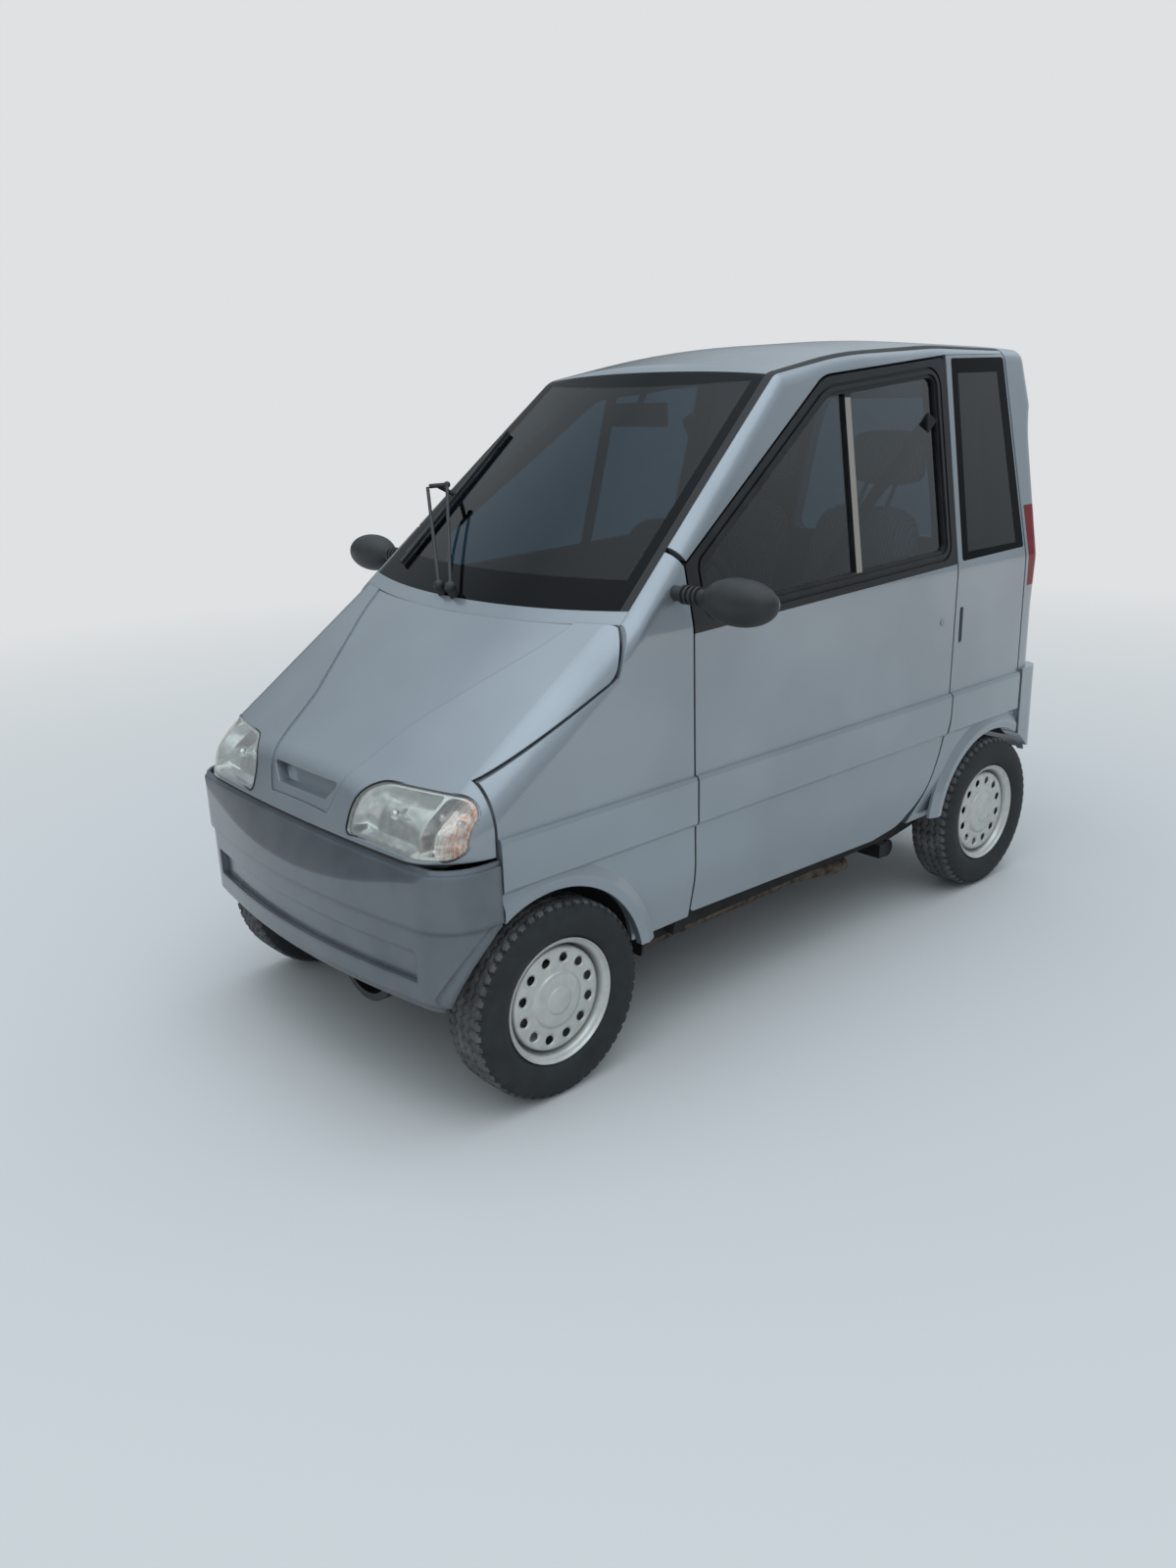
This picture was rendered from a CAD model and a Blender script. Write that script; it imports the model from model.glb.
import math
import bpy
import numpy as np
from mathutils import Matrix, Vector


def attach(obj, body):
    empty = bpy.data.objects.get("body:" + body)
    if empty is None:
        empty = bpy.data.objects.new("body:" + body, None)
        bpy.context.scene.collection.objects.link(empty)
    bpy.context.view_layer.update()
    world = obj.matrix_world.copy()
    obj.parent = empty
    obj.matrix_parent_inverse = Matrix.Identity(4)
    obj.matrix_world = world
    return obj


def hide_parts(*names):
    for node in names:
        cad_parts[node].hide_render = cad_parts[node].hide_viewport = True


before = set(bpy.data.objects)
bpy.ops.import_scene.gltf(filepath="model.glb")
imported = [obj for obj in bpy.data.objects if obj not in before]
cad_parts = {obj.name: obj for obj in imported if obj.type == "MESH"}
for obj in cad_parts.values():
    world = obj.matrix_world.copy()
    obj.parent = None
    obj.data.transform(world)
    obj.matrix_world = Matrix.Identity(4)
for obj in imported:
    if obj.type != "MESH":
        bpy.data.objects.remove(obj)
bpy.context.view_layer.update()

# A small two-seat car in silver paint. Lengths are in metres, and the nose points along -Y.

# The camera stands at the photograph's place: turned about the car, tipped down and rolled a little
camera_place = (2.4042, -2.3526, 1.5055)
camera_turn, camera_tip, camera_roll = math.radians(48.712), math.radians(17.925), math.radians(-1.953)
lens_mm, sensor_mm = 28.38, 36

# Pale ground and sky as the camera and clear glass see them
backdrop = "#dfe1e2"

sides = ((1, "left"), (-1, "right"))


def shine(code):
    """sRGB hex colour as a linear colour."""
    value = np.array([int(code[i:i + 2], 16) for i in (1, 3, 5)]) / 255
    value = np.where(value <= 0.04045, value / 12.92, ((value + 0.055) / 1.055) ** 2.4)
    return (*value, 1.0)


def wire(tree, node, settings):
    """Sets a node's sockets, given by name or in order: each gets a value, or a link from another socket."""
    for name, value in settings.items() if isinstance(settings, dict) else enumerate(settings):
        if isinstance(value, bpy.types.NodeSocket):
            tree.links.new(value, node.inputs[name])
        else:
            node.inputs[name].default_value = value


def add(tree, kind, settings, out=0, **attributes):
    """One shader node: attributes first, then its sockets. Gives the output of that name or number."""
    made = tree.nodes.new("ShaderNode" + kind)
    for name, value in attributes.items():
        setattr(made, name, value)
    wire(tree, made, settings)
    return made.outputs[out]


def surface(name):
    """Empty material with its tree, its shader and Object coordinates."""
    made = bpy.data.materials.new(name)
    made.use_nodes = True
    tree = made.node_tree
    return made, tree, tree.nodes["Principled BSDF"], add(tree, "TexCoord", {}, "Object")


def between(tree, factor, low, high, start=0.35, end=0.65):
    """Colour that runs from low to high, both hex, as factor passes from start to end."""
    share = add(tree, "MapRange", [factor, start, end])
    return add(tree, "Mix", {0: share, 6: shine(low), 7: shine(high)}, 2, data_type="RGBA")


def past(tree, place, way, start, end):
    """0 to 1 as a point's reach along way, which is their dot product, passes from start to end."""
    reach = add(tree, "VectorMath", [place, way], "Value", operation="DOT_PRODUCT")
    return add(tree, "MapRange", [reach, start, end])


def either(tree, *factors):
    """The largest of several factors."""
    whole = factors[0]
    for one in factors[1:]:
        whole = add(tree, "Math", [whole, one], operation="MAXIMUM")
    return whole


def mirrored_share(tree, index):
    """Share of the light that a clear skin of this index mirrors, on its outer face alone."""
    inside = add(tree, "NewGeometry", {}, "Backfacing")
    return add(tree, "Mix", {0: inside, 2: add(tree, "Fresnel", {"IOR": index}), 3: 0.0})


# Silver metallic enamel: aluminium flakes under clear lacquer, drawn 1.2 mm wide where real ones are far
# finer, so that they show. Panel edges take the light as if rounded to 3 mm
def silver_enamel(name, light, deep):
    made, tree, shader, place = surface(name)
    cloud = add(tree, "TexNoise", {"Vector": place, "Scale": 1 / 0.35, "Detail": 2.0})
    flake = add(tree, "TexVoronoi", {"Vector": place, "Scale": 1 / 0.0012}, "Color")
    grain = add(tree, "SeparateColor", {"Color": flake}, "Red")
    edges = add(tree, "Bevel", {"Radius": 0.003}, samples=4)
    wire(tree, shader, {
        "Base Color": between(tree, cloud, deep, light),
        "Roughness": add(tree, "MapRange", [grain, 0.0, 1.0, 0.30, 0.42]),
        "Normal": add(tree, "Bump", {"Height": grain, "Distance": 0.00002, "Strength": 0.25,
                                     "Normal": edges}),
        "Metallic": 0.68, "Coat Weight": 1.0, "Coat Roughness": 0.04})
    return made


# Painted ABS of the front bumper: satin, darker than the body, chipped along its lower edge, below 0.42 m.
# Its creases take the light as if rounded to 16 mm
def bumper_abs(name, light, deep, chips):
    made, tree, shader, place = surface(name)
    cloud = add(tree, "TexNoise", {"Vector": place, "Scale": 1 / 0.12, "Detail": 4.0})
    speck = add(tree, "TexNoise", {"Vector": place, "Scale": 1 / 0.012, "Detail": 5.0, "Roughness": 0.7})
    low = past(tree, place, (0, 0, -1), -0.42, -0.29)
    chipped = add(tree, "Math", [add(tree, "MapRange", [speck, 0.66, 0.70]), low], operation="MULTIPLY")
    paint = between(tree, cloud, deep, light)
    edges = add(tree, "Bevel", {"Radius": 0.016}, samples=4)
    wire(tree, shader, {
        "Base Color": add(tree, "Mix", {0: chipped, 6: paint, 7: shine(chips)}, 2, data_type="RGBA"),
        "Roughness": add(tree, "MapRange", [cloud, 0.3, 0.7, 0.26, 0.36]),
        "Normal": add(tree, "Bump", {"Height": speck, "Distance": 0.00004, "Strength": 0.2, "Normal": edges}),
        "Metallic": 0.72, "Coat Weight": 0.7, "Coat Roughness": 0.14})
    return made


# Moulded plastic, rubber, felt or webbing: dark and even, with a fine grain of grain metres
def moulded(name, light, deep, rough, grain=0.0011, depth=0.00008):
    made, tree, shader, place = surface(name)
    cloud = add(tree, "TexNoise", {"Vector": place, "Scale": 1 / 0.06, "Detail": 4.0})
    leather = add(tree, "TexNoise", {"Vector": place, "Scale": 1 / grain, "Detail": 2.0})
    wire(tree, shader, {
        "Base Color": between(tree, cloud, deep, light),
        "Roughness": add(tree, "MapRange", [cloud, 0.3, 0.7, rough - 0.06, rough + 0.06]),
        "Normal": add(tree, "Bump", {"Height": leather, "Distance": depth, "Strength": 0.6})})
    return made


# Window rubber: black, with the grey-brown anodised divider between the two panes. The divider is a band 22
# mm wide that leans back 103 mm for each metre of height
def window_rubber(name, light, deep, divider):
    made, tree, shader, place = surface(name)
    cloud = add(tree, "TexNoise", {"Vector": place, "Scale": 1 / 0.06, "Detail": 4.0})
    leather = add(tree, "TexNoise", {"Vector": place, "Scale": 1 / 0.0011, "Detail": 2.0})
    lean, middle, half, soft = 0.103, 0.127, 0.0112, 0.0006
    off_divider = either(tree,
                         past(tree, place, (0, 1, -lean), middle + half, middle + half + soft),
                         past(tree, place, (0, -1, lean), half - middle, half - middle + soft),
                         past(tree, place, (0, 0, -1), -1.032, -1.030),
                         past(tree, place, (0, 0, 1), 1.452, 1.454))
    rubber = between(tree, cloud, deep, light)
    wire(tree, shader, {
        "Base Color": add(tree, "Mix", {0: off_divider, 6: shine(divider), 7: rubber}, 2, data_type="RGBA"),
        "Roughness": add(tree, "MapRange", [cloud, 0.3, 0.7, 0.34, 0.48]),
        "Normal": add(tree, "Bump", {"Height": leather, "Distance": 0.00006, "Strength": 0.5})})
    return made


# Pressed steel wheels in silver lacquer, a little uneven with dust
def wheel_lacquer(name, light, deep):
    made, tree, shader, place = surface(name)
    cloud = add(tree, "TexNoise", {"Vector": place, "Scale": 1 / 0.03, "Detail": 5.0, "Roughness": 0.6})
    peel = add(tree, "TexNoise", {"Vector": place, "Scale": 1 / 0.002, "Detail": 2.0})
    wire(tree, shader, {
        "Base Color": between(tree, cloud, deep, light, 0.3, 0.7),
        "Roughness": add(tree, "MapRange", [cloud, 0.3, 0.7, 0.5, 0.34]),
        "Normal": add(tree, "Bump", {"Height": peel, "Distance": 0.00004, "Strength": 0.3}),
        "Metallic": 0.75, "Coat Weight": 0.3, "Coat Roughness": 0.15})
    return made


# Tyre rubber: carbon black, rough, and paler where road dust stays on it
def tyre_rubber(name, light, deep):
    made, tree, shader, place = surface(name)
    cloud = add(tree, "TexNoise", {"Vector": place, "Scale": 1 / 0.05, "Detail": 6.0, "Roughness": 0.65})
    grit = add(tree, "TexNoise", {"Vector": place, "Scale": 1 / 0.0016, "Detail": 3.0})
    wire(tree, shader, {
        "Base Color": between(tree, cloud, deep, light),
        "Roughness": add(tree, "MapRange", [cloud, 0.3, 0.7, 0.62, 0.85]),
        "Normal": add(tree, "Bump", {"Height": grit, "Distance": 0.00018, "Strength": 0.7})})
    return made


# Window glass: tinted and clear, mirror-bright at a glancing angle. Index stands for both faces of the
# pane, and printed gives where its black ceramic border lies
def pane_glass(name, tint, index, printed=None):
    made, tree, shader, place = surface(name)
    clear = add(tree, "BsdfTransparent", {"Color": shine(tint)})
    gloss = add(tree, "BsdfGlossy", {"Color": (1, 1, 1, 1), "Roughness": 0.01})
    glass = add(tree, "MixShader", [mirrored_share(tree, index), clear, gloss])
    wire(tree, shader, {"Base Color": shine("#060708"), "Roughness": 0.10, "Specular IOR Level": 0.1})
    if printed:
        glass = add(tree, "MixShader", [printed(tree, place), glass, shader.outputs[0]])
    wire(tree, tree.nodes["Material Output"], {"Surface": glass})
    return made


def screen_border(tree, place):
    """Black print round the windscreen: past a slanted line at each side, and past a bowed line, 0.3 times
    the distance across squared, at the cowl and at the header."""
    across = add(tree, "Math", [add(tree, "SeparateXYZ", [place], "X")], operation="ABSOLUTE")
    backward = add(tree, "SeparateXYZ", [place], "Y")
    beside = add(tree, "Math", [backward, 0.141, across], operation="MULTIPLY_ADD")
    bow = add(tree, "Math", [across, across], operation="MULTIPLY")
    bowed = add(tree, "Math", [bow, -0.30, backward], operation="MULTIPLY_ADD")
    return either(tree,
                  add(tree, "MapRange", [beside, 0.3632, 0.3652]),
                  add(tree, "MapRange", [bowed, -0.545, -0.541, 1.0, 0.0]),
                  add(tree, "MapRange", [bowed, -0.044, -0.040]))


def quarter_border(tree, place):
    """Black print round the rear quarter glass, wider at its two upright edges."""
    return either(tree,
                  past(tree, place, (0, -1, 0.107), -0.6125, -0.6105),
                  past(tree, place, (0, 1, 0), 0.968, 0.970),
                  past(tree, place, (0, 0, -1), -1.032, -1.030),
                  past(tree, place, (0, 0, 1), 1.500, 1.502))


# Ribbed seat cloth: upright cords 9 mm apart in grey and beige yarn, with the soft rim light of fabric. The
# cords are a sine of the distance across
def seat_cloth(name, light, deep):
    made, tree, shader, place = surface(name)
    across = add(tree, "SeparateXYZ", [place], "X")
    turns = add(tree, "Math", [across, 2 * math.pi / 0.009], operation="MULTIPLY")
    cord = add(tree, "Math", [turns], operation="SINE")
    weave = add(tree, "TexNoise", {"Vector": place, "Scale": 1 / 0.0022, "Detail": 2.0, "Roughness": 0.7})
    woven = add(tree, "Math", [weave, 0.6], operation="MULTIPLY")
    height = add(tree, "Math", [cord, 0.5, woven], operation="MULTIPLY_ADD")
    wire(tree, shader, {
        "Base Color": between(tree, height, deep, light, 0.0, 0.8),
        "Normal": add(tree, "Bump", {"Height": height, "Distance": 0.0009, "Strength": 0.8}),
        "Roughness": 0.92, "Sheen Weight": 0.35, "Sheen Roughness": 0.5})
    return made


# Lamp acrylic: bright skin over a see-through body with upright flutes, flute metres apart, a sine of the
# distance across. Streak is how much the flutes' crests hide, and end the colour of the flashing lamp at
# the outer end
def lamp_acrylic(name, tint, opacity, flute=0.014, streak=0.0, end=None):
    made, tree, shader, place = surface(name)
    across = add(tree, "SeparateXYZ", [place], "X")
    turns = add(tree, "Math", [across, 2 * math.pi / flute], operation="MULTIPLY")
    rib = add(tree, "Math", [turns], operation="SINE")
    plain = add(tree, "Math", [mirrored_share(tree, 1.49), opacity], operation="ADD")
    crest = add(tree, "MapRange", [rib, 0.2, 1.0, 0.0, streak])
    share = add(tree, "Math", [plain, crest], operation="ADD", use_clamp=True)
    tone = shine(tint)
    if end:
        aside = add(tree, "Math", [across], operation="ABSOLUTE")
        outer = add(tree, "MapRange", [aside, 0.470, 0.505])
        cloud = add(tree, "TexNoise", {"Vector": place, "Scale": 1 / 0.009, "Detail": 2.0})
        patch = add(tree, "MapRange", [cloud, 0.42, 0.62, 0.1, 0.55])
        coloured = add(tree, "Math", [outer, patch], operation="MULTIPLY")
        tone = add(tree, "Mix", {0: coloured, 6: shine(tint), 7: shine(end)}, 2, data_type="RGBA")
        share = add(tree, "Math", [outer, 0.10, share], operation="MULTIPLY_ADD", use_clamp=True)
    clear = add(tree, "BsdfTransparent", {"Color": tone})
    wire(tree, shader, {"Base Color": tone, "Roughness": 0.06,
                        "Normal": add(tree, "Bump", {"Height": rib, "Distance": 0.0006, "Strength": 0.35})})
    both = add(tree, "MixShader", [share, clear, shader.outputs[0]])
    wire(tree, tree.nodes["Material Output"], {"Surface": both})
    return made


# Cast, plated or rusted metal: blotched, duller where it is paler
def worn_metal(name, light, deep, rough, metallic):
    made, tree, shader, place = surface(name)
    cloud = add(tree, "TexNoise", {"Vector": place, "Scale": 1 / 0.03, "Detail": 6.0, "Roughness": 0.7})
    wire(tree, shader, {
        "Base Color": between(tree, cloud, deep, light, 0.35, 0.6),
        "Roughness": add(tree, "MapRange", [cloud, 0.3, 0.7, rough + 0.15, rough - 0.1]),
        "Normal": add(tree, "Bump", {"Height": cloud, "Distance": 0.0006, "Strength": 0.5}),
        "Metallic": metallic})
    return made


# Metallised plastic or silvered glass: an even mirror, a little hazy, with faint ripples
def metallised(name, colour, rough):
    made, tree, shader, place = surface(name)
    haze = add(tree, "TexNoise", {"Vector": place, "Scale": 1 / 0.02, "Detail": 3.0})
    wire(tree, shader, {
        "Base Color": between(tree, haze, colour, "#f2f3f3", 0.3, 0.7),
        "Roughness": add(tree, "MapRange", [haze, 0.3, 0.7, rough, rough + 0.06]),
        "Normal": add(tree, "Bump", {"Height": haze, "Distance": 0.0003, "Strength": 0.3}),
        "Metallic": 1.0})
    return made


finishes = {
    "enamel": silver_enamel("silver_metallic_enamel", "#979fa6", "#8d959c"),
    "bumper": bumper_abs("satin_painted_abs_grey", "#6a7177", "#5e656b", "#2c2c2c"),
    "rubber": moulded("epdm_rubber_black", "#1c1d1e", "#101112", 0.55),
    "window_rubber": window_rubber("epdm_window_rubber_black", "#17191b", "#0d0e10", "#8b8780"),
    "trim": moulded("textured_abs_black", "#2c2f31", "#1f2123", 0.50),
    "cabin": moulded("cabin_pvc_dark_grey", "#3c4043", "#2c2f32", 0.62),
    "carpet": moulded("needle_felt_carpet_charcoal", "#2b2b2c", "#1a1a1b", 0.95, 0.003, 0.0012),
    "liner": moulded("polypropylene_liner_black", "#1b1b1b", "#0f0f0f", 0.7),
    "wheel": wheel_lacquer("steel_wheel_silver_lacquer", "#cecfcc", "#c0c1be"),
    "tyre": tyre_rubber("tyre_rubber_black", "#272b2e", "#13171a"),
    "tread": tyre_rubber("tyre_tread_road_dusty", "#5c5d5e", "#363738"),
    "screen": pane_glass("laminated_windscreen_glass", "#8396a0", 1.36, screen_border),
    "window": pane_glass("toughened_side_glass", "#bccbd3", 1.9),
    "gate": pane_glass("toughened_rear_glass", "#8b979e", 1.5),
    "quarter": pane_glass("toughened_quarter_glass_dark", "#66747d", 1.65, quarter_border),
    "cloth": seat_cloth("ribbed_seat_cloth_grey", "#8d8a85", "#63615e"),
    "lens": lamp_acrylic("clear_lamp_acrylic", "#f6f7f5", 0.02, 0.0055, 0.16, "#e2ab8e"),
    "red": lamp_acrylic("red_lamp_acrylic", "#7c1216", 0.75),
    "frame_paint": moulded("black_chassis_enamel", "#202122", "#131313", 0.45, 0.004, 0.0003),
    "iron": worn_metal("cast_engine_aluminium", "#77756f", "#4a4845", 0.5, 0.7),
    "rust": worn_metal("rusted_exhaust_steel", "#74685c", "#3c322b", 0.75, 0.3),
    "steel": worn_metal("zinc_plated_steel", "#8c8d8c", "#5a5a58", 0.4, 0.9),
    "reflector": metallised("aluminised_lamp_reflector", "#d6d8d9", 0.10),
    "belt": moulded("polyester_belt_webbing", "#26282a", "#17191a", 0.8, 0.0016, 0.0004),
    "mirror": metallised("silvered_mirror_glass", "#e4e7e8", 0.02),
}

# Which finish each CAD node wears
wears = {
    "enamel": ["bonnet", "wing_left", "wing_right", "door_left", "door_right", "side_rail_left",
               "side_rail_right", "quarter_panel_left", "quarter_panel_right", "rear_surround", "tailgate",
               "roof_panel", "cowl_strip", "bumper_rear"],
    "bumper": ["bumper_front"],
    "rubber": ["nose_seal", "roof_strips"],
    "window_rubber": ["window_frame_left", "window_frame_right"],
    "trim": ["mirror_left", "mirror_right", "inner_mirror", "wiper", "steering_wheel", "steering_column"],
    "cabin": ["dashboard"],
    "carpet": ["floor_tub"],
    "liner": ["arch_liner_left", "arch_liner_right"],
    "wheel": ["rim_front_left", "rim_front_right", "rim_rear_left", "rim_rear_right"],
    "tyre": ["tyre_front_left", "tyre_front_right", "tyre_rear_left", "tyre_rear_right"],
    "screen": ["windscreen"],
    "window": ["window_glass_left", "window_glass_right"],
    "gate": ["tailgate_glass"],
    "quarter": ["quarter_glass"],
    "cloth": ["seat_left", "seat_right"],
    "lens": ["headlamp_left", "headlamp_right"],
    "reflector": ["headlamp_housings"],
    "red": ["tail_lamps"],
    "frame_paint": ["chassis_frame", "front_suspension", "rear_suspension", "pulley"],
    "iron": ["engine_block"],
    "rust": ["exhaust"],
    "steel": ["upright_left", "upright_right"],
}
for finish, names in wears.items():
    for name in names:
        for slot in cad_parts[name].material_slots:
            slot.material = finishes[finish]


def smooth_mesh(name, points, faces, materials):
    """Smooth piece from arrays of points and of four-cornered faces."""
    mesh = bpy.data.meshes.new(name)
    mesh.from_pydata(points.tolist(), [], faces.tolist())
    mesh.polygons.foreach_set("use_smooth", np.ones(len(mesh.polygons), bool))
    for material in materials:
        mesh.materials.append(material)
    made = bpy.data.objects.new(name, mesh)
    bpy.context.scene.collection.objects.link(made)
    return made


def sheet_mesh(name, points, close_u, close_v, finish, keep=None):
    """Surface through a grid of points, shape (rows, columns, 3), joined up round rows or columns if
    closed. Only the faces where keep is true are made."""
    rows, columns = points.shape[:2]
    a, b = np.indices((rows if close_u else rows - 1, columns if close_v else columns - 1))
    a2, b2 = (a + 1) % rows, (b + 1) % columns
    corners = [a * columns + b, a2 * columns + b, a2 * columns + b2, a * columns + b2]
    faces = np.stack(corners, axis=-1).reshape(-1, 4)
    places = points.reshape(-1, 3)
    if keep is not None:
        used, faces = np.unique(faces[keep.ravel()], return_inverse=True)
        places, faces = places[used], faces.reshape(-1, 4)
    return smooth_mesh(name, places, faces, [finishes[finish]])


# Points nearer to each other than this are joined where a sheet closes in one point
pole_gap = 0.00005


def settle(made):
    """Puts what a piece's modifiers give into its own mesh."""
    view = bpy.context.evaluated_depsgraph_get()
    fresh = bpy.data.meshes.new_from_object(made.evaluated_get(view), preserve_all_data_layers=True,
                                            depsgraph=view)
    made.modifiers.clear()
    made.data = fresh


def positions(made):
    """A piece's points as an array."""
    flat = np.empty(len(made.data.vertices) * 3)
    made.data.vertices.foreach_get("co", flat)
    return flat.reshape(-1, 3)


def place_points(made, points):
    """Writes an array of points back to a piece."""
    made.data.vertices.foreach_set("co", points.ravel())
    made.data.update()


def bar(name, path, half_wide, half_thick, wide_way, finish, corner=0.5, around=16):
    """Bar along a path: each point carries a rounded rectangle set across the path, wide along wide_way.
    Its two half widths go with the cosine and sine of an angle, each raised to the power corner."""
    path, wide_way = np.asarray(path, float), np.asarray(wide_way, float)
    run = np.gradient(path, axis=0)
    run /= np.linalg.norm(run, axis=1, keepdims=True)
    wide = wide_way - (run @ wide_way)[:, None] * run
    wide /= np.linalg.norm(wide, axis=1, keepdims=True)
    thick = np.cross(run, wide)
    angle = -np.linspace(0, 2 * np.pi, around, endpoint=False)
    a = np.sign(np.cos(angle)) * np.abs(np.cos(angle)) ** corner * half_wide
    b = np.sign(np.sin(angle)) * np.abs(np.sin(angle)) ** corner * half_thick
    rings = path[:, None] + a[None, :, None] * wide[:, None] + b[None, :, None] * thick[:, None]
    first, last = (np.repeat(path[[end]][:, None], around, axis=1) for end in (0, -1))
    return sheet_mesh(name, np.concatenate([first, rings, last]), False, True, finish)


# Wheels: places of the axles, half the track, tread radius, and the radius where the tread's dust begins
front_axle_y, rear_axle_y = -0.814, 0.886
track_half, tyre_r, dust_r = 0.486, 0.229, 0.2225
wheels = (("front_left", 1, front_axle_y), ("front_right", -1, front_axle_y),
          ("rear_left", 1, rear_axle_y), ("rear_right", -1, rear_axle_y))

# Tyre wall as distance out and radius, from the bead to the shoulder; number and depth of the tread's blocks
wall_line = np.array([(0.049, 0.146), (0.055, 0.150), (0.0605, 0.163), (0.0635, 0.180), (0.0630, 0.197),
                      (0.0600, 0.211), (0.0555, 0.221)])
bead_half, bead_r, tread_half = 0.040, 0.146, 0.052
blocks, groove_depth = 54, 0.006
# Tread's fall 50 mm from its middle, its further fall at the edge, where that one starts, and its run
crown_fall, edge_fall, edge_from, edge_run = 0.0012, 0.0035, 0.044, 0.008
# Zigzag grooves: middle and swing of each, half width with its sloping wall
grooves = ((-0.024, 0.0045), (0.0, 0.0055), (0.024, 0.0045))
groove_half, groove_wall = 0.0042, 0.0012
# Shoulder slots: where they start and end, with the run in and out of each, turns of slant for each metre,
# and half width with its sloping wall as shares of a block
slot_from, slot_in, slot_to, slot_out = 0.033, 0.004, 0.0585, 0.002
slot_slant, slot_half, slot_wall = 9, 0.11, 0.05


def tyre(place, side, centre_y):
    """Ring swept round the axle. The tread's radius falls with the square of the distance from its middle,
    and again over its last 8 mm. It drops in three zigzag grooves, whose middle line is a triangle wave of
    the angle, and in slanted slots between the shoulder blocks."""
    tread_x = np.linspace(tread_half, -tread_half, 45)
    over_edge = np.clip((np.abs(tread_x) - edge_from) / edge_run, 0, 1)
    crown = tyre_r - crown_fall * (tread_x / 0.05) ** 2 - edge_fall * over_edge ** 2
    x = np.concatenate([wall_line[:, 0], tread_x, -wall_line[::-1, 0], [-bead_half, bead_half]])
    r = np.concatenate([wall_line[:, 1], crown, wall_line[::-1, 1], [bead_r, bead_r]])
    turn = np.linspace(0, 2 * np.pi, blocks * 8, endpoint=False)
    phase = turn[:, None] * blocks / (2 * np.pi)
    zig = np.abs((phase % 1) - 0.5) * 4 - 1
    drop = np.zeros((len(turn), len(x)))
    for middle, swing in grooves:
        away = np.abs(x[None] - middle - swing * zig)
        drop = np.maximum(drop, np.clip((groove_half - away) / groove_wall, 0, 1))
    away = np.abs(((phase + 0.25 + x[None] * slot_slant) % 1) - 0.5)
    out = np.abs(x[None])
    shoulder = np.clip((out - slot_from) / slot_in, 0, 1) * np.clip((slot_to - out) / slot_out, 0, 1)
    drop = np.maximum(drop, np.clip((slot_half + slot_wall - away) / slot_wall, 0, 1) * shoulder)
    radius = r[None] - groove_depth * drop * (r[None] > 0.2)
    points = np.stack([side * (track_half + np.broadcast_to(x, radius.shape)),
                       centre_y + radius * np.sin(turn)[:, None],
                       tyre_r + radius * np.cos(turn)[:, None]], axis=-1)
    made = sheet_mesh("tyre_" + place + "_tread", points[::side], True, True, "tyre")
    made.data.materials.append(finishes["tread"])
    middle = np.empty(len(made.data.polygons) * 3)
    made.data.polygons.foreach_get("center", middle)
    reach = np.hypot(middle[1::3] - centre_y, middle[2::3] - tyre_r)
    made.data.polygons.foreach_set("material_index", (reach > dust_r).astype(np.int32))
    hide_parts("tyre_" + place)
    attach(made, "wheel_" + place)


# Wheel disc as radius and distance out from the wheel's middle: cap, raised centre, holed ring, rolled edge
disc_line = np.array([
    (0.0, 0.0530), (0.022, 0.0525), (0.0300, 0.0512), (0.0322, 0.0488), (0.0335, 0.0478),
    (0.0450, 0.0474), (0.0570, 0.0466), (0.0625, 0.0448), (0.0660, 0.0412), (0.0695, 0.0396),
    (0.0780, 0.0400), (0.0960, 0.0410), (0.1110, 0.0404), (0.1160, 0.0392), (0.1187, 0.0370),
    (0.1202, 0.0330), (0.1210, 0.0200)])
# Rim as distance out and radius: from the groove beside the disc over the flange to the inner flange and
# back
rim_line = np.array([
    (0.0160, 0.1232), (0.0260, 0.1262), (0.0360, 0.1280), (0.0430, 0.1302), (0.0470, 0.1330),
    (0.0485, 0.1370), (0.0515, 0.1405), (0.0548, 0.1423), (0.0558, 0.1438), (0.0548, 0.1448),
    (0.0500, 0.1450), (0.0, 0.1450), (-0.0500, 0.1450), (-0.0548, 0.1448), (-0.0558, 0.1438),
    (-0.0548, 0.1423), (-0.0500, 0.1380), (-0.0460, 0.1300), (-0.0400, 0.1242), (0.0, 0.1225)])
# Twelve holes: radius of their ring, of a hole and of the dish round it, and the dish's depth
hole_ring, hole_r, dish_r, dish_depth = 0.0955, 0.0100, 0.0165, 0.0042
hole_step = np.pi / 6
# Thickness of the disc, and the steps of its mesh round the axle and out from it
disc_thick, round_steps, out_steps = 0.003, 288, 68


def along(line, count):
    """Points evenly spaced along a bent line."""
    step = np.concatenate([[0], np.cumsum(np.linalg.norm(np.diff(line, axis=0), axis=1))])
    at = np.linspace(0, step[-1], count)
    return np.stack([np.interp(at, step, line[:, 0]), np.interp(at, step, line[:, 1])], axis=-1)


def four_corners(grid):
    """A grid's own values, and those one row on, one column on, and both on."""
    return [np.roll(grid, (-i, -j), (0, 1)) for i in (0, 1) for j in (0, 1)]


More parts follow.
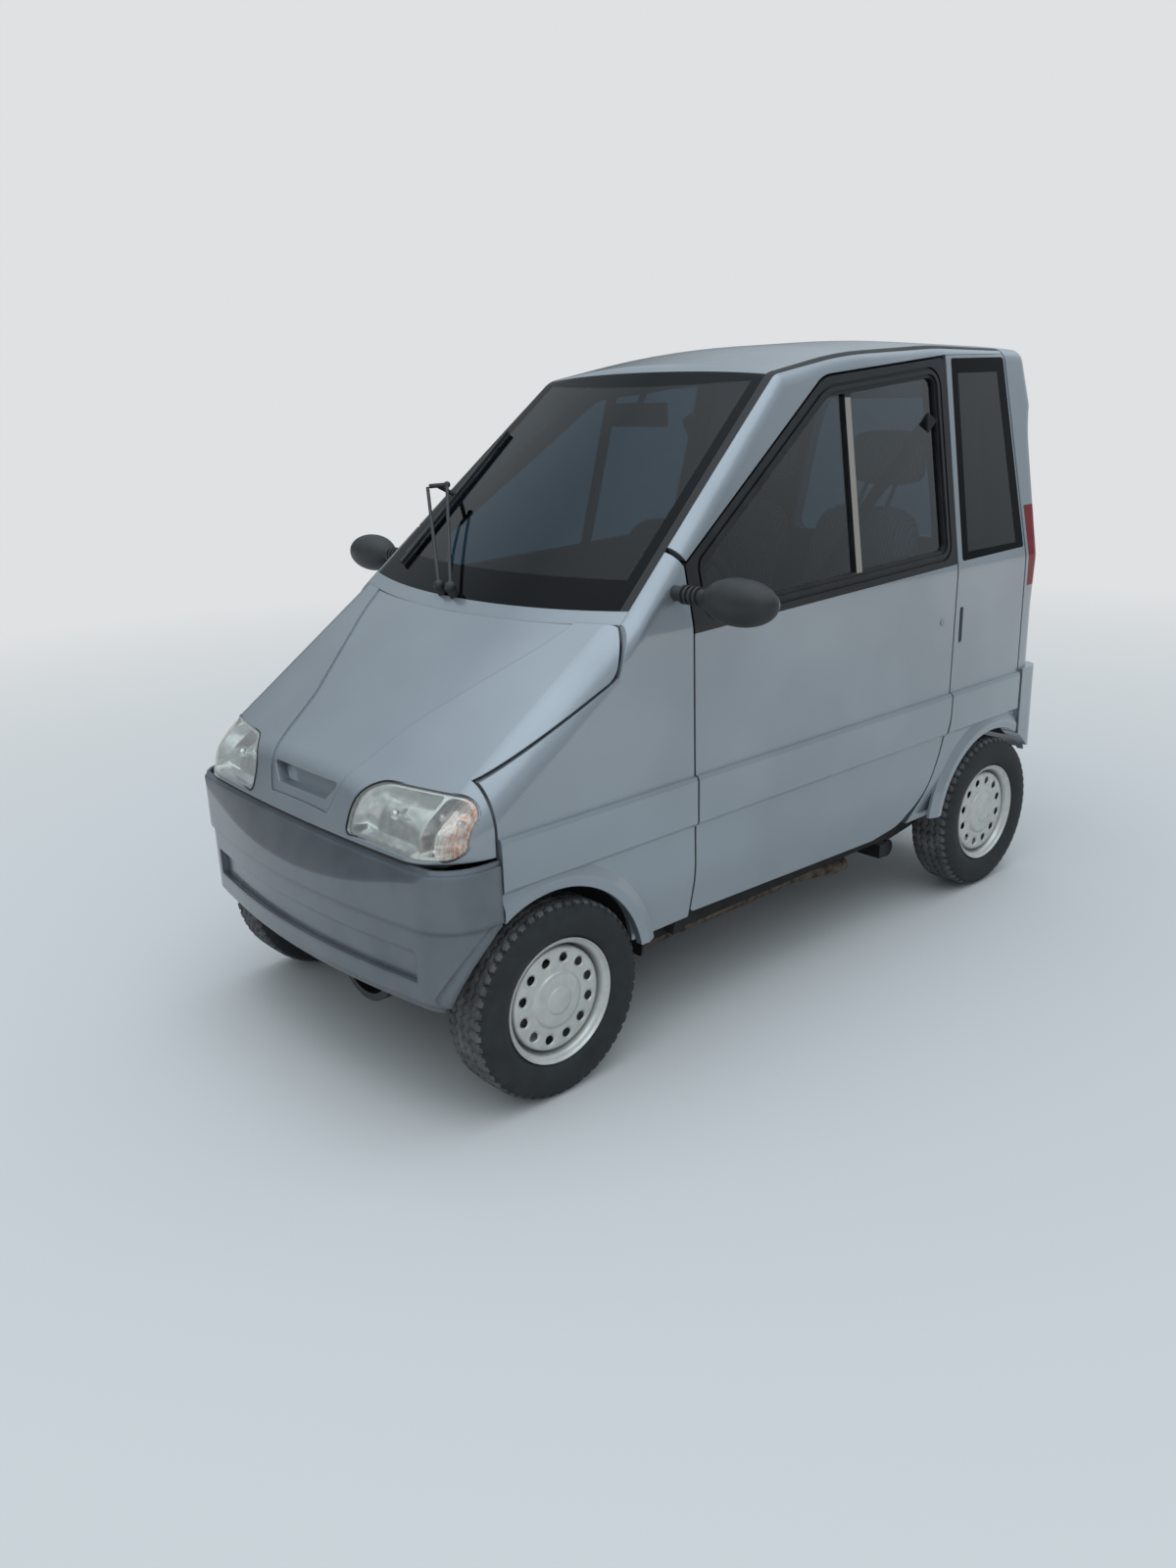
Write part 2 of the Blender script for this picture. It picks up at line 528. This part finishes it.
def wheel(place, side, centre_y):
    """Disc and rim swept round the axle. Within dish_r of a hole's centre the disc sinks in an S-curve, and
    the faces nearer than hole_r are left out, their border points pushed out onto the hole's circle. Faces
    on the seam between two holes' shares of the turn, where the swing from a hole's centre jumps, all
    stay."""
    turn = np.linspace(0, 2 * np.pi, round_steps, endpoint=False)[::side]
    line = along(disc_line, out_steps)
    swing = (turn % hole_step - hole_step / 2)[:, None]
    radius = np.broadcast_to(line[:, 0], (len(turn), len(line)))
    aside, beyond = radius * swing, radius - hole_ring
    away = np.hypot(aside, beyond)
    middle = np.hypot(sum(four_corners(aside)) / 4, sum(four_corners(beyond)) / 4)
    seam = np.abs(np.roll(swing, -1, 0) - swing) > 0.1
    keep = ((middle > hole_r) | seam)[:, :-1]
    padded = np.pad(keep, ((0, 0), (0, 1)))
    border = sum(np.roll(padded, (i, j), (0, 1)) for i in (0, 1) for j in (0, 1)) > 0
    push = np.where(border & (away < hole_r), hole_r / np.maximum(away, 1e-6), 1.0)
    radius = hole_ring + beyond * push
    angle = turn[:, None] + aside * (push - 1) / np.maximum(radius, 0.001)
    near = np.clip((dish_r - away) / (dish_r - hole_r), 0, 1)
    out = line[:, 1] - dish_depth * near ** 2 * (3 - 2 * near)
    points = np.stack([side * (track_half + out), centre_y + radius * np.sin(angle),
                       tyre_r + radius * np.cos(angle)], axis=-1)
    disc = sheet_mesh("wheel_disc_" + place, points, True, False, "wheel", keep)
    disc.modifiers.new("pole", "WELD").merge_threshold = pole_gap
    wall = disc.modifiers.new("wall", "SOLIDIFY")
    wall.thickness, wall.offset = disc_thick, -1.0
    settle(disc)
    angle = turn[::2][:, None]
    points = np.stack([side * (track_half + np.broadcast_to(rim_line[:, 0], (len(angle), len(rim_line)))),
                       centre_y + rim_line[:, 1] * np.sin(angle),
                       tyre_r + rim_line[:, 1] * np.cos(angle)], axis=-1)
    rim = sheet_mesh("wheel_rim_" + place, points, True, True, "wheel")
    for piece in (disc, rim):
        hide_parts("rim_" + place)
        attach(piece, "wheel_" + place)


for place, side, centre_y in wheels:
    tyre(place, side, centre_y)
    wheel(place, side, centre_y)

# Seats: part, centre y and z, half sizes across, along and up, lean in radians, how far it may swell, and
# how far its seams lie from its middle
seat_x = 0.235
seat_parts = (
    ("cushion", 0.300, 0.502, 0.208, 0.222, 0.064, 0.06, 0.014, 0.125),
    ("back", 0.588, 0.826, 0.200, 0.046, 0.350, -0.250, 0.014, 0.120),
    ("headrest", 0.750, 1.275, 0.124, 0.038, 0.078, -0.115, 0.010, 9.0),
)
seam_depth, seam_half = 0.007, 0.006
# How round a cushion is, seen from the side and from above: 1 is a ball and 0 a box. Size of its mesh,
# pressure in it, and how many steps the cloth takes to settle
round_side, round_above = 0.42, 0.38
mesh_size, cloth_pressure, cloth_steps = 0.007, 4.0, 20


def squared(wave, power):
    """A wave whose size is raised to a power below one, which squares off the curve it draws."""
    return np.sign(wave) * np.abs(wave) ** power


def foam(name, middle, half, lean, cap):
    """Closed cushion: a ball whose three coordinates are squared off, then blown up a little as cloth under
    pressure. Its points stay within cap metres of where they started."""
    rise, turn = np.linspace(-np.pi / 2, np.pi / 2, 34), np.linspace(0, 2 * np.pi, 72, endpoint=False)
    ring = squared(np.cos(rise), round_side)[:, None]
    across = half[0] * ring * squared(np.cos(turn), round_above)
    deep = half[1] * ring * squared(np.sin(turn), round_above)
    high = half[2] * np.broadcast_to(squared(np.sin(rise), round_side)[:, None], across.shape)
    points = np.stack([across, deep * math.cos(lean) - high * math.sin(lean),
                       deep * math.sin(lean) + high * math.cos(lean)], axis=-1) + middle
    made = sheet_mesh(name, points, False, True, "cloth")
    made.modifiers.new("weld", "WELD").merge_threshold = 0.0004
    remesh = made.modifiers.new("skin", "REMESH")
    remesh.voxel_size, remesh.use_smooth_shade = mesh_size, True
    settle(made)
    start = positions(made)
    air = made.modifiers.new("air", "CLOTH").settings
    air.use_pressure, air.uniform_pressure_force = True, cloth_pressure
    air.effector_weights.gravity = 0.0
    for step in range(1, cloth_steps + 1):
        bpy.context.scene.frame_set(step)
    settle(made)
    moved = positions(made) - start
    size = np.linalg.norm(moved, axis=1, keepdims=True)
    place_points(made, start + moved * np.minimum(1, cap / np.maximum(size, 1e-9)))
    bpy.context.scene.frame_set(1)
    return made


def sew(made, seam):
    """Seams: points near the two lines, seam metres from the seat's middle, sink along their normal by a
    bell curve of their distance."""
    points = positions(made)
    normals = np.empty(len(points) * 3)
    made.data.vertices.foreach_get("normal", normals)
    away = np.abs(np.abs(points[:, 0] - seat_x) - seam)
    points -= normals.reshape(-1, 3) * (seam_depth * np.exp(-(away / seam_half) ** 2))[:, None]
    place_points(made, points)


def twin(made, name):
    """The same piece on the car's other side: x changes sign, and each face's corners go the other way
    round."""
    corners = np.empty(len(made.data.loops), int)
    made.data.loops.foreach_get("vertex_index", corners)
    faces = corners.reshape(-1, 4)[:, ::-1]
    return smooth_mesh(name, positions(made) * (-1, 1, 1), faces, made.data.materials)


# Seat base as y and z, with its half width and half thickness
base_path, base_half = ((0.120, 0.394), (0.30, 0.394), (0.500, 0.394)), (0.176, 0.040)
# Headrest posts as y and z, with their places across and their radius
post_path, post_places, post_r = ((0.668, 1.130), (0.698, 1.175), (0.735, 1.225)), (0.185, 0.285), 0.006
# Belt's strap as x, y and z, with its width and thickness
strap_path = ((0.452, 0.626, 1.395), (0.380, 0.614, 1.290), (0.300, 0.598, 1.185), (0.250, 0.561, 1.090),
              (0.190, 0.526, 0.960), (0.120, 0.491, 0.820), (0.060, 0.456, 0.690), (0.020, 0.426, 0.600))
belt_width, belt_thick = 0.046, 0.0018

for side, word in sides:
    for part, centre_y, centre_z, across, deep, high, lean, cap, seam in seat_parts:
        name = "seat_" + part + "_" + word
        if side > 0:
            half = np.array((across, deep, high)) - cap / 2
            piece = foam(name, (seat_x, centre_y, centre_z), half, lean, cap)
            sew(piece, seam)
        else:
            piece = twin(bpy.data.objects["seat_" + part + "_left"], name)
        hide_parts("seat_" + word)
        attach(piece, "root")
    base = bar("seat_base_" + word, [(side * seat_x, y, z) for y, z in base_path], *base_half,
               (1, 0, 0), "cabin", 0.25, 32)
    posts = [bar("headrest_post_%s_%d" % (word, round(x * 1000)), [(side * x, y, z) for y, z in post_path],
                 post_r, post_r, (1, 0, 0), "steel", 1.0) for x in post_places]
    for piece in (base, *posts):
        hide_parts("seat_" + word)
        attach(piece, "root")
    belt = bar("belt_" + word, [(side * x, y, z) for x, y, z in strap_path], belt_width / 2, belt_thick / 2,
               (1, 0, 0.4), "belt", 0.3)
    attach(belt, "root")

# Wheel arch where it runs on over the bumper's side: centre as y and z, radius, and its lip's section, as
# distance out from the arch's edge and how proud of the bumper, both in millimetres
arch_y, arch_z, arch_r = -0.829, 0.236, 0.259
lip_section = np.array([(-1.0, -14), (-1.5, 1.5), (1, 4.6), (6, 5.6), (12, 4.8), (18, 2.6), (23, 0.5),
                        (27, -1.5), (14, -6)])
lip_start, lip_sweep, lip_rows = math.radians(12.5), math.radians(44.5), 40
# Least distance out at which the bumper is read, how deep the lip's ends lie in it, and places well clear
# of the car from which the bumper's side and the bonnet are read
read_out, end_sunk, clear_x, clear_y = 0.0008, 0.0012, 0.9, -1.4
# Headlamp outline: corners as x, z and radius, its middle, half the thickness of the rubber ring that lies
# on it, and how far outside the outline the bonnet's surface is read
lamp_corners = ((0.207, 0.617, 0.016), (0.523, 0.612, 0.030), (0.522, 0.731, 0.052), (0.207, 0.733, 0.084))
lamp_middle = (0.365, 0.672)
ring_half, ring_beside = 0.0021, 0.0022


def touch(node, starts, way):
    """Where straight lines from an array of starts first meet a CAD node."""
    return np.array([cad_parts[node].ray_cast(start, way)[1] for start in starts.tolist()])


def rounded_corners(corners, steps=10):
    """Outline of a polygon whose corners are arcs: each arc starts one tangent length from its corner, and
    turns about a middle on the corner's own bisector."""
    found = []
    for i, (x, z, r) in enumerate(corners):
        here = np.array((x, z))
        before = np.array(corners[i - 1][:2]) - here
        after = np.array(corners[(i + 1) % len(corners)][:2]) - here
        before, after = before / np.linalg.norm(before), after / np.linalg.norm(after)
        half = math.acos(np.clip(before @ after, -1, 1)) / 2
        middle = here + (before + after) / np.linalg.norm(before + after) * r / math.sin(half)
        start = here + before * r / math.tan(half) - middle
        sweep = (math.pi - 2 * half) * np.sign(before[1] * after[0] - before[0] * after[1])
        turn = np.linspace(0, sweep, steps)[:, None]
        found.append(middle + start * np.cos(turn) + np.array((-start[1], start[0])) * np.sin(turn))
    return np.concatenate([*found, found[0][:1]])


def arch_lip(side):
    """Grid of the lip: its section, laid along the arch's circle on the bumper's own surface. Over the
    first and last eighth of its length what is proud fades away, and each end closes in its middle."""
    step = np.linspace(0, 1, lip_rows)
    beta = (lip_start + lip_sweep * step)[:, None]
    fade = np.minimum(1, 8 * np.minimum(step, 1 - step))[:, None]
    outward, proud = lip_section.T / 1000
    reach, probe = arch_r + outward, arch_r + np.maximum(outward, read_out)
    starts = np.stack([np.full((lip_rows, len(probe)), side * clear_x), arch_y - probe * np.cos(beta),
                       arch_z + probe * np.sin(beta)], axis=-1)
    skin_x = touch("bumper_front", starts.reshape(-1, 3), (-side, 0, 0))[:, 0].reshape(lip_rows, -1)
    height = np.where(proud < 0, proud, proud * fade - end_sunk * (1 - fade))
    rows = np.stack([skin_x + side * height, arch_y - reach * np.cos(beta),
                     arch_z + reach * np.sin(beta)], axis=-1)
    ends = np.broadcast_to(rows[[0, -1]].mean(axis=1, keepdims=True), (2, *rows.shape[1:]))
    return np.concatenate([ends[:1], rows, ends[1:]])[::side]


for side, word in sides:
    lip = sheet_mesh("bumper_arch_lip_" + word, arch_lip(side), False, True, "bumper")
    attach(lip, "root")
    outline = rounded_corners(lamp_corners)
    out = outline - lamp_middle
    edge = outline + ring_beside * out / np.linalg.norm(out, axis=1, keepdims=True)
    starts = np.stack([side * edge[:, 0], np.full(len(edge), clear_y), edge[:, 1]], axis=-1)
    on_bonnet = touch("bonnet", starts, (0, 1, 0))[:, 1]
    path = np.stack([side * outline[:, 0], on_bonnet, outline[:, 1]], axis=-1)
    gasket = bar("lamp_gasket_" + word, path, ring_half, ring_half, (0, 0, 1), "rubber", 1.0, 10)
    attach(gasket, "bonnet_body")

# Silvered glass on the flat back of each mirror head: its middle, its half width and height, and the rings
# of its section, as share of that size and distance back. Each ring is an ellipse
glass_middle, glass_half = (0.700, -0.398, 1.063), (0.088, 0.044)
glass_rings = np.array([(0.0, 0.0036), (0.5, 0.0036), (0.94, 0.0036), (0.985, 0.0032), (1.0, 0.0022),
                        (1.0, -0.0010), (0.6, -0.0016), (0.0, -0.0016)])
share, back = glass_rings[:, :1], glass_rings[:, 1:]
turn = np.linspace(2 * np.pi, 0, 96, endpoint=False)
for side, word in sides:
    points = np.stack([side * glass_middle[0] + glass_half[0] * share * np.cos(turn),
                       glass_middle[1] + back + 0 * turn,
                       glass_middle[2] + glass_half[1] * share * np.sin(turn)], axis=-1)
    glass = sheet_mesh("mirror_glass_" + word, points, False, True, "mirror")
    glass.modifiers.new("poles", "WELD").merge_threshold = pole_gap
    settle(glass)
    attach(glass, "root")

# Matt vinyl floor, lit near the car so that it keeps the shadow, and one plain tone further off
finishes["floor"], tree, shader, place = surface("studio_floor_matt_vinyl")
wire(tree, shader, {"Base Color": shine("#c4c6c6"), "Roughness": 0.9})
glow = add(tree, "Emission", {"Color": shine(backdrop), "Strength": 1.0})
far = add(tree, "MapRange", [add(tree, "VectorMath", [place], "Value", operation="LENGTH"), 1.6, 6.5])
wire(tree, tree.nodes["Material Output"], {"Surface": add(tree, "MixShader", [far, shader.outputs[0], glow])})
turn = np.linspace(0, 2 * np.pi, 65)
reach = np.array([0.0, 3.0, 9.0, 60.0])[:, None]
plane = np.stack([reach * np.cos(turn), reach * np.sin(turn), np.zeros((4, 65))], axis=-1)
floor = sheet_mesh("studio_floor", plane, False, False, "floor")

# World: dark near the ground and pale from half way up, a little paler ahead on the left and far behind,
# with a bright cap overhead as under open sky. The camera and clear glass see the plain backdrop
world = bpy.data.worlds.new("soft_studio")
bpy.context.scene.world = world
world.use_nodes = True
tree = world.node_tree
way = add(tree, "TexCoord", {}, "Generated")
ahead, behind = past(tree, way, (1, -1, 0), 0.0, 1.0), past(tree, way, (0, 1, 0), 0.65, 0.95)
raised = add(tree, "Math", [ahead, 0.22, add(tree, "SeparateXYZ", [way], "Z")], operation="MULTIPLY_ADD")
raised = add(tree, "Math", [behind, 0.4, raised], operation="MULTIPLY_ADD")
sky = tree.nodes["Background"]
wire(tree, sky, {"Color": between(tree, raised, "#454c52", "#dbe6ee", 0.02, 0.50),
                 "Strength": add(tree, "MapRange", [raised, 0.70, 0.92, 0.74, 1.75])})
plain = add(tree, "Background", {"Color": shine(backdrop), "Strength": 1.0})
seen = either(tree, add(tree, "LightPath", {}, "Is Camera Ray"),
              add(tree, "LightPath", {}, "Is Transmission Ray"))
wire(tree, tree.nodes["World Output"], {"Surface": add(tree, "MixShader", [seen, sky.outputs[0], plain])})


def lamp(name, place, aim, size, power):
    """Square soft lamp at place that faces aim and isn't mirrored in anything."""
    light = bpy.data.lights.new(name, "AREA")
    light.size, light.energy = size, power
    made = bpy.data.objects.new(name, light)
    made.location = place
    made.rotation_euler = (Vector(aim) - Vector(place)).to_track_quat("-Z", "Y").to_euler()
    made.visible_glossy = False
    bpy.context.scene.collection.objects.link(made)


lamp("sky_lamp", (0.4, -0.9, 5.2), (0, 0, 0.6), 4.6, 60)
lamp("corner_lamp", (4.3, -4.5, 0.9), (0, -0.6, 0.5), 2.6, 45)

camera_data = bpy.data.cameras.new("camera")
camera_data.lens, camera_data.sensor_width = lens_mm, sensor_mm
camera = bpy.data.objects.new("camera", camera_data)
bpy.context.scene.collection.objects.link(camera)
bpy.context.scene.camera = camera
right = Vector((math.cos(camera_turn), math.sin(camera_turn), 0))
level_back = Vector((math.sin(camera_turn), -math.cos(camera_turn), 0))
back = level_back * math.cos(camera_tip) + Vector((0, 0, math.sin(camera_tip)))
up = back.cross(right)
rolled_right = right * math.cos(camera_roll) + up * math.sin(camera_roll)
rolled_up = up * math.cos(camera_roll) - right * math.sin(camera_roll)
turned = Matrix((rolled_right, rolled_up, back)).transposed().to_4x4()
camera.matrix_world = Matrix.Translation(camera_place) @ turned

bpy.context.scene.view_settings.view_transform = "Standard"
